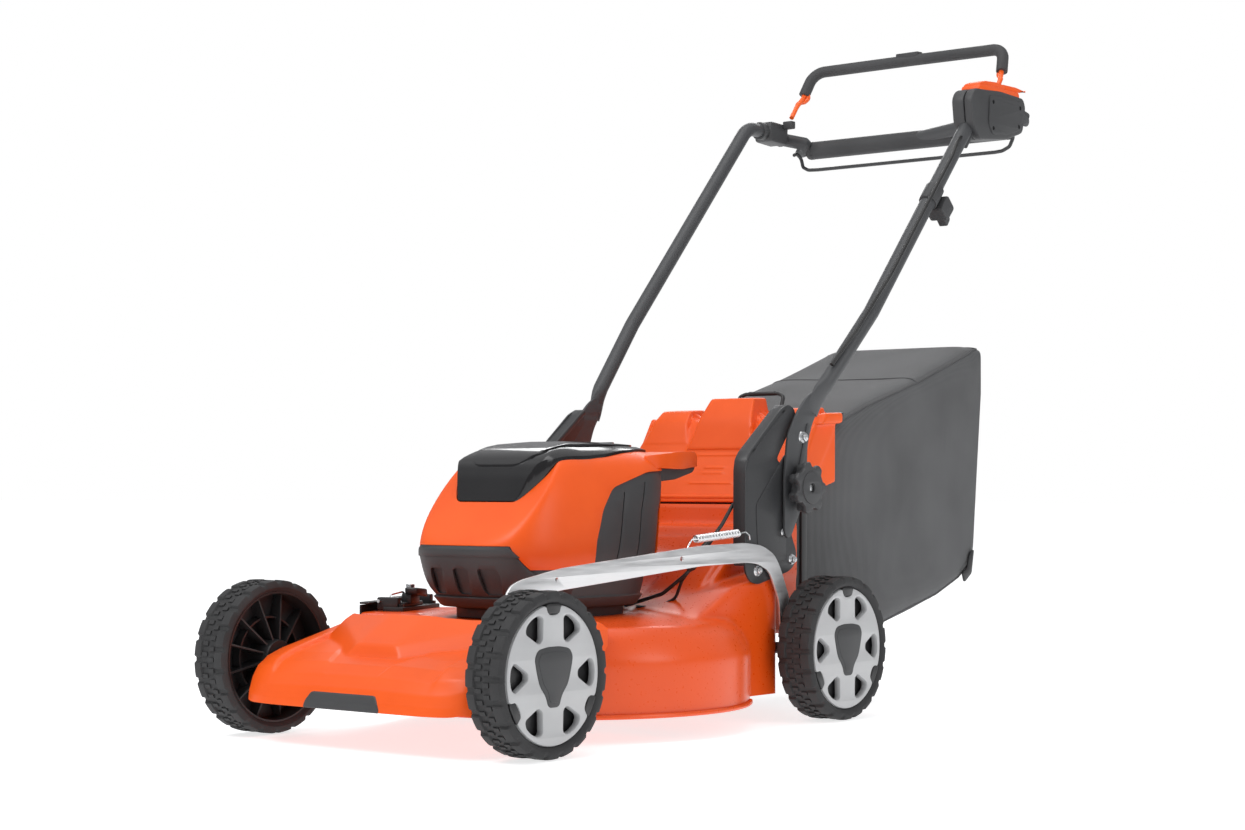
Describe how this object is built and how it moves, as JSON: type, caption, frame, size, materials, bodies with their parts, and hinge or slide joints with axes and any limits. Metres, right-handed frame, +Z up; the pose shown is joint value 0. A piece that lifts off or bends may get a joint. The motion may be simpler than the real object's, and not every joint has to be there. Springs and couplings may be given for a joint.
{
  "type": "push lawn mower",
  "caption": "Battery rotary mower with pressed deck, motor housing, folding tube handle with bails, rear grass bag, side discharge door and linked wheel height adjustment.",
  "frame": {"origin": "on the ground under the middle of the whole machine", "axes": "-Y is the way the mower faces, +X is its left side, +Z is up"},
  "size_m": [0.526, 1.3386, 1.0492],
  "materials": {
    "deck_paint": "glossy powder coat",
    "orange_plastic": "satin moulded",
    "dark_plastic": "fine grain moulded",
    "lid_plastic": "gloss moulded",
    "black_steel": "satin powder coat",
    "tube_paint": "fine texture powder coat",
    "zinc": "zinc plated",
    "blade_steel": "dark oiled",
    "tyre_rubber": "moulded",
    "trim_silver": "satin paint",
    "grip_foam": "soft touch",
    "bag_cloth": "woven polyester",
    "cable_black": "smooth jacket"
  },
  "bodies": {
    "chassis": {"deck_shell": "deck_paint", "front_cover": "orange_plastic", "front_insert": "dark_plastic", "housing_cover": "orange_plastic", "housing_grille": "dark_plastic", "housing_base": "dark_plastic", "motor": "black_steel", "battery_tray": "dark_plastic", "vent_panel_left": "dark_plastic", "vent_panel_right": "dark_plastic", "bracket_left": "black_steel", "bracket_right": "black_steel", "lower_cable": "cable_black", "door_hinge": "dark_plastic"},
    "battery_lid": {"battery_lid": "lid_plastic"},
    "battery": {"battery_pack": "dark_plastic"},
    "knob_left": {"clamp_knob_left": "dark_plastic"},
    "knob_right": {"clamp_knob_right": "dark_plastic"},
    "side_door": {"side_door": "dark_plastic"},
    "rear_flap": {"rear_flap": "orange_plastic"},
    "bag": {"grass_bag": "bag_cloth"},
    "bag_handle": {"bag_handle": "black_steel"},
    "blade": {"blade": "blade_steel", "blade_hub": "zinc", "blade_bolt": "zinc"},
    "front_axle": {"front_axle": "black_steel"},
    "rear_axle": {"rear_axle": "black_steel", "height_lever": "black_steel"},
    "height_bar": {"height_bar": "zinc", "lift_spring": "zinc"},
    "handle": {"handle_tube_left": "tube_paint", "handle_tube_right": "tube_paint", "handle_crossbar": "tube_paint", "handle_grip": "grip_foam", "switch_box": "dark_plastic", "crossbar_clamp": "dark_plastic", "cable_clip": "dark_plastic", "upper_cable": "cable_black"},
    "start_button": {"start_button": "orange_plastic"},
    "bail": {"bail_rod": "orange_plastic", "bail_sheath": "grip_foam"},
    "drive_bail": {"drive_bail": "black_steel"},
    "front_left_wheel": {"front_left_tyre": "tyre_rubber", "front_left_core": "dark_plastic", "front_left_trim": "trim_silver", "front_left_cap": "dark_plastic"},
    "front_right_wheel": {"front_right_tyre": "tyre_rubber", "front_right_core": "dark_plastic", "front_right_trim": "trim_silver", "front_right_cap": "dark_plastic"},
    "rear_left_wheel": {"rear_left_tyre": "tyre_rubber", "rear_left_core": "dark_plastic", "rear_left_trim": "trim_silver", "rear_left_cap": "dark_plastic"},
    "rear_right_wheel": {"rear_right_tyre": "tyre_rubber", "rear_right_core": "dark_plastic", "rear_right_trim": "trim_silver", "rear_right_cap": "dark_plastic"}
  },
  "joints": [
    {"name": "height_adjust", "type": "hinge", "parent": "chassis", "child": "front_axle", "pos_m": [0, -0.51376, 0.1], "axis": [1, 0, 0], "range_deg": [0, 50]},
    {"name": "rear_height", "type": "hinge", "parent": "chassis", "child": "rear_axle", "pos_m": [0, 0.01024, 0.1], "axis": [1, 0, 0], "range_deg": [-50, 0]},
    {"name": "height_link", "type": "slide", "parent": "chassis", "child": "height_bar", "axis": [0, 1, 0], "range_m": [0, 0.035]},
    {"name": "front_left_spin", "type": "hinge", "parent": "front_axle", "child": "front_left_wheel", "pos_m": [0.235, -0.56926, 0.1], "axis": [1, 0, 0], "continuous": true},
    {"name": "front_right_spin", "type": "hinge", "parent": "front_axle", "child": "front_right_wheel", "pos_m": [-0.235, -0.56926, 0.1], "axis": [1, 0, 0], "continuous": true},
    {"name": "rear_left_spin", "type": "hinge", "parent": "rear_axle", "child": "rear_left_wheel", "pos_m": [0.235, 0.06574, 0.1], "axis": [1, 0, 0], "continuous": true},
    {"name": "rear_right_spin", "type": "hinge", "parent": "rear_axle", "child": "rear_right_wheel", "pos_m": [-0.235, 0.06574, 0.1], "axis": [1, 0, 0], "continuous": true},
    {"name": "blade_spin", "type": "hinge", "parent": "chassis", "child": "blade", "pos_m": [0, -0.23676, 0.045], "axis": [0, 0, 1], "continuous": true},
    {"name": "handle_fold", "type": "hinge", "parent": "chassis", "child": "handle", "pos_m": [0, 0.04124, 0.394], "axis": [1, 0, 0], "range_deg": [0, 128]},
    {"name": "knob_left_turn", "type": "hinge", "parent": "chassis", "child": "knob_left", "pos_m": [0.215, 0.02924, 0.323], "axis": [1, 0, 0], "continuous": true},
    {"name": "knob_right_turn", "type": "hinge", "parent": "chassis", "child": "knob_right", "pos_m": [-0.215, 0.02924, 0.323], "axis": [1, 0, 0], "continuous": true},
    {"name": "bail_squeeze", "type": "hinge", "parent": "handle", "child": "bail", "pos_m": [0, 0.59024, 0.953], "axis": [-1, 0, 0], "range_deg": [0, 74], "stiffness_Nm_per_rad": 0.8, "springref_deg": -45.84},
    {"name": "drive_squeeze", "type": "hinge", "parent": "handle", "child": "drive_bail", "pos_m": [0, 0.61424, 0.893], "axis": [1, 0, 0], "range_deg": [0, 14], "stiffness_Nm_per_rad": 0.3, "springref_deg": -22.92},
    {"name": "start_press", "type": "slide", "parent": "handle", "child": "start_button", "axis": [0, 0, -1], "range_m": [0, 0.0012], "stiffness_N_per_m": 900},
    {"name": "lid_open", "type": "hinge", "parent": "chassis", "child": "battery_lid", "pos_m": [0, -0.13976, 0.377], "axis": [-1, 0, 0], "range_deg": [0, 75]},
    {"name": "battery_release", "type": "slide", "parent": "chassis", "child": "battery", "axis": [0, 0, 1], "range_m": [0, 0.01]},
    {"name": "flap_open", "type": "hinge", "parent": "chassis", "child": "rear_flap", "pos_m": [0, 0.08624, 0.309], "axis": [1, 0, 0], "range_deg": [0, 60]},
    {"name": "door_open", "type": "hinge", "parent": "chassis", "child": "side_door", "pos_m": [-0.21702, -0.31877, 0.168], "axis": [-0.3535, 0.9354, 0], "range_deg": [0, 70], "stiffness_Nm_per_rad": 0.2, "springref_deg": -28.65},
    {"name": "bag_lift_off", "type": "slide", "parent": "chassis", "child": "bag", "axis": [0, 0.9397, 0.342], "range_m": [0, 0.3]},
    {"name": "bag_handle_swing", "type": "hinge", "parent": "bag", "child": "bag_handle", "pos_m": [0, 0.21824, 0.436], "axis": [1, 0, 0], "range_deg": [0, 70]}
  ],
  "couplings": [
    {"joint": "rear_height", "follows": "height_adjust", "ratio": -1},
    {"joint": "height_link", "follows": "height_adjust", "m_per_rad": 0.0385}
  ]
}
